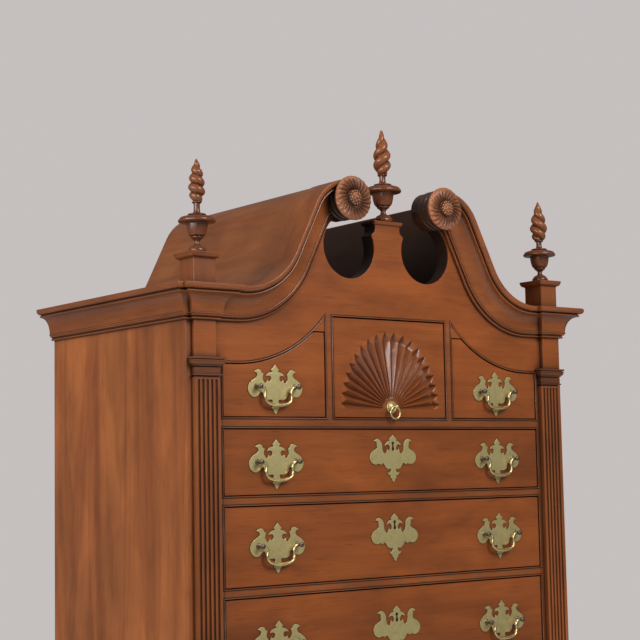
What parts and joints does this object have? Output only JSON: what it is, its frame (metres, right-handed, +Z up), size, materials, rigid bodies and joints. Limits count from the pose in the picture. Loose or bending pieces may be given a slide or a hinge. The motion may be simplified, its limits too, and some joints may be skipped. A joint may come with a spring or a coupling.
{
  "type": "bombe chest-on-chest",
  "caption": "Tall two-part wooden chest of drawers: swelled lower case on ogee feet, straight upper case, bonnet top with swan necks and flame finials, swinging brass bails.",
  "frame": {"origin": "on the floor at the middle of the bounding box", "axes": "+Z up, -Y out of the drawer fronts, +X to the right of someone facing the chest"},
  "size_m": [1.144, 0.6126, 2.2793],
  "materials": {
    "cherry": "satin varnish",
    "cherry_dark": "satin varnish, darker",
    "cherry_front": "satin varnish",
    "pine": "raw wood",
    "brass": "polished and aged"
  },
  "bodies": {
    "case": {"base_moulding": "cherry", "bonnet_left": "cherry", "bonnet_right": "cherry", "crown_moulding_left": "cherry", "crown_moulding_right": "cherry", "dust_board_2": "cherry", "dust_board_3": "cherry", "dust_board_4": "cherry", "finial_center": "cherry_dark", "finial_left": "cherry_dark", "finial_right": "cherry_dark", "foot_front_left": "cherry", "foot_front_right": "cherry", "foot_rear_left": "cherry", "foot_rear_right": "cherry", "lower_back": "pine", "lower_dust_board_1": "cherry", "lower_dust_board_2": "cherry", "lower_side_left": "cherry", "lower_side_right": "cherry", "pilaster_left": "cherry", "pilaster_right": "cherry", "plinth_left": "cherry", "plinth_right": "cherry", "rosette_left": "cherry_dark", "rosette_right": "cherry_dark", "small_drawer_partition": "cherry", "tympanum": "cherry", "upper_back": "pine", "upper_bottom": "cherry", "upper_side_left": "cherry", "upper_side_right": "cherry", "waist_moulding": "cherry"},
    "small_drawer_left": {"small_drawer_left": "cherry_front"},
    "fan_drawer": {"fan_drawer": "cherry_front"},
    "small_drawer_right": {"small_drawer_right": "cherry_front"},
    "upper_drawer_1": {"upper_drawer_1": "cherry_front"},
    "upper_drawer_2": {"upper_drawer_2": "cherry_front"},
    "upper_drawer_3": {"upper_drawer_3": "cherry_front"},
    "upper_drawer_4": {"upper_drawer_4": "cherry_front"},
    "lower_drawer_1": {"lower_drawer_1": "cherry_front"},
    "lower_drawer_2": {"lower_drawer_2": "cherry_front"},
    "lower_drawer_3": {"lower_drawer_3": "cherry_front"},
    "bail_lower_1_left": {"bail_lower_1_left": "brass"},
    "bail_lower_1_right": {"bail_lower_1_right": "brass"},
    "bail_lower_2_left": {"bail_lower_2_left": "brass"},
    "bail_lower_2_right": {"bail_lower_2_right": "brass"},
    "bail_lower_3_left": {"bail_lower_3_left": "brass"},
    "bail_lower_3_right": {"bail_lower_3_right": "brass"},
    "bail_small_left": {"bail_small_left": "brass"},
    "bail_small_right": {"bail_small_right": "brass"},
    "bail_upper_1_left": {"bail_upper_1_left": "brass"},
    "bail_upper_1_right": {"bail_upper_1_right": "brass"},
    "bail_upper_2_left": {"bail_upper_2_left": "brass"},
    "bail_upper_2_right": {"bail_upper_2_right": "brass"},
    "bail_upper_3_left": {"bail_upper_3_left": "brass"},
    "bail_upper_3_right": {"bail_upper_3_right": "brass"},
    "bail_upper_4_left": {"bail_upper_4_left": "brass"},
    "bail_upper_4_right": {"bail_upper_4_right": "brass"},
    "fan_ring": {"fan_ring": "brass"}
  },
  "joints": [
    {"name": "small_drawer_left_slide", "type": "slide", "parent": "case", "child": "small_drawer_left", "axis": [0, -1, 0], "range_m": [0, 0.36]},
    {"name": "fan_drawer_slide", "type": "slide", "parent": "case", "child": "fan_drawer", "axis": [0, -1, 0], "range_m": [0, 0.36]},
    {"name": "small_drawer_right_slide", "type": "slide", "parent": "case", "child": "small_drawer_right", "axis": [0, -1, 0], "range_m": [0, 0.36]},
    {"name": "upper_drawer_1_slide", "type": "slide", "parent": "case", "child": "upper_drawer_1", "axis": [0, -1, 0], "range_m": [0, 0.36]},
    {"name": "upper_drawer_2_slide", "type": "slide", "parent": "case", "child": "upper_drawer_2", "axis": [0, -1, 0], "range_m": [0, 0.36]},
    {"name": "upper_drawer_3_slide", "type": "slide", "parent": "case", "child": "upper_drawer_3", "axis": [0, -1, 0], "range_m": [0, 0.36]},
    {"name": "upper_drawer_4_slide", "type": "slide", "parent": "case", "child": "upper_drawer_4", "axis": [0, -1, 0], "range_m": [0, 0.36]},
    {"name": "lower_drawer_1_slide", "type": "slide", "parent": "case", "child": "lower_drawer_1", "axis": [0, -1, 0], "range_m": [0, 0.36]},
    {"name": "lower_drawer_2_slide", "type": "slide", "parent": "case", "child": "lower_drawer_2", "axis": [0, -1, 0], "range_m": [0, 0.36]},
    {"name": "lower_drawer_3_slide", "type": "slide", "parent": "case", "child": "lower_drawer_3", "axis": [0, -1, 0], "range_m": [0, 0.36]},
    {"name": "bail_lower_1_left_swing", "type": "hinge", "parent": "lower_drawer_1", "child": "bail_lower_1_left", "pos_m": [-0.29652, -0.26567, 0.77209], "axis": [-1, 0, 0], "range_deg": [0, 110]},
    {"name": "bail_lower_1_right_swing", "type": "hinge", "parent": "lower_drawer_1", "child": "bail_lower_1_right", "pos_m": [0.29652, -0.26567, 0.77209], "axis": [-1, 0, 0], "range_deg": [0, 110]},
    {"name": "bail_lower_2_left_swing", "type": "hinge", "parent": "lower_drawer_2", "child": "bail_lower_2_left", "pos_m": [-0.29652, -0.29794, 0.55004], "axis": [-1, 0, 0], "range_deg": [0, 110]},
    {"name": "bail_lower_2_right_swing", "type": "hinge", "parent": "lower_drawer_2", "child": "bail_lower_2_right", "pos_m": [0.29652, -0.29794, 0.55004], "axis": [-1, 0, 0], "range_deg": [0, 110]},
    {"name": "bail_lower_3_left_swing", "type": "hinge", "parent": "lower_drawer_3", "child": "bail_lower_3_left", "pos_m": [-0.29652, -0.29022, 0.3025], "axis": [-1, 0, 0], "range_deg": [0, 110]},
    {"name": "bail_lower_3_right_swing", "type": "hinge", "parent": "lower_drawer_3", "child": "bail_lower_3_right", "pos_m": [0.29652, -0.29022, 0.3025], "axis": [-1, 0, 0], "range_deg": [0, 110]},
    {"name": "bail_small_left_swing", "type": "hinge", "parent": "small_drawer_left", "child": "bail_small_left", "pos_m": [-0.29652, -0.23616, 1.72896], "axis": [-1, 0, 0], "range_deg": [0, 110]},
    {"name": "bail_small_right_swing", "type": "hinge", "parent": "small_drawer_right", "child": "bail_small_right", "pos_m": [0.29652, -0.23616, 1.72896], "axis": [-1, 0, 0], "range_deg": [0, 110]},
    {"name": "bail_upper_1_left_swing", "type": "hinge", "parent": "upper_drawer_1", "child": "bail_upper_1_left", "pos_m": [-0.29652, -0.23616, 1.58321], "axis": [-1, 0, 0], "range_deg": [0, 110]},
    {"name": "bail_upper_1_right_swing", "type": "hinge", "parent": "upper_drawer_1", "child": "bail_upper_1_right", "pos_m": [0.29652, -0.23616, 1.58321], "axis": [-1, 0, 0], "range_deg": [0, 110]},
    {"name": "bail_upper_2_left_swing", "type": "hinge", "parent": "upper_drawer_2", "child": "bail_upper_2_left", "pos_m": [-0.29652, -0.23616, 1.42167], "axis": [-1, 0, 0], "range_deg": [0, 110]},
    {"name": "bail_upper_2_right_swing", "type": "hinge", "parent": "upper_drawer_2", "child": "bail_upper_2_right", "pos_m": [0.29652, -0.23616, 1.42167], "axis": [-1, 0, 0], "range_deg": [0, 110]},
    {"name": "bail_upper_3_left_swing", "type": "hinge", "parent": "upper_drawer_3", "child": "bail_upper_3_left", "pos_m": [-0.29652, -0.23616, 1.23462], "axis": [-1, 0, 0], "range_deg": [0, 110]},
    {"name": "bail_upper_3_right_swing", "type": "hinge", "parent": "upper_drawer_3", "child": "bail_upper_3_right", "pos_m": [0.29652, -0.23616, 1.23462], "axis": [-1, 0, 0], "range_deg": [0, 110]},
    {"name": "bail_upper_4_left_swing", "type": "hinge", "parent": "upper_drawer_4", "child": "bail_upper_4_left", "pos_m": [-0.29652, -0.23616, 1.02208], "axis": [-1, 0, 0], "range_deg": [0, 110]},
    {"name": "bail_upper_4_right_swing", "type": "hinge", "parent": "upper_drawer_4", "child": "bail_upper_4_right", "pos_m": [0.29652, -0.23616, 1.02208], "axis": [-1, 0, 0], "range_deg": [0, 110]},
    {"name": "fan_ring_swing", "type": "hinge", "parent": "fan_drawer", "child": "fan_ring", "pos_m": [0, -0.23616, 1.6926], "axis": [-1, 0, 0], "range_deg": [0, 110]}
  ]
}
